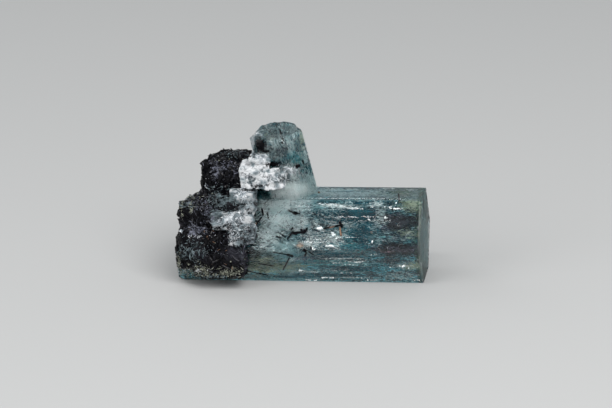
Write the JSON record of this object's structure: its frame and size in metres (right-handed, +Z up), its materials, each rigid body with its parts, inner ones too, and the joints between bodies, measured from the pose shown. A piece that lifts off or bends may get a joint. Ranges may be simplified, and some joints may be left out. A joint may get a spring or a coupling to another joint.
{
  "type": "aquamarine crystal specimen",
  "caption": "Aquamarine specimen: a long hexagonal crystal lying on a side face, a smaller crystal leaning out of it, and a mass of black schorl and white feldspar on its end.",
  "frame": {"origin": "under the middle of the specimen, in the plane of the crystal's flat bottom face", "axes": "+X along the large crystal towards its flat end, +Y away from the front with the feldspar, +Z up"},
  "size_m": [0.0453, 0.0206, 0.0288],
  "materials": {
    "aquamarine": "clear, cloudy at the schorl end",
    "schorl": "glossy black needles",
    "feldspar": "matte white grains"
  },
  "bodies": {
    "root": {"aquamarine": "aquamarine", "schorl_mass": "schorl", "feldspar_block": "feldspar", "feldspar_patch": "feldspar"}
  },
  "joints": []
}
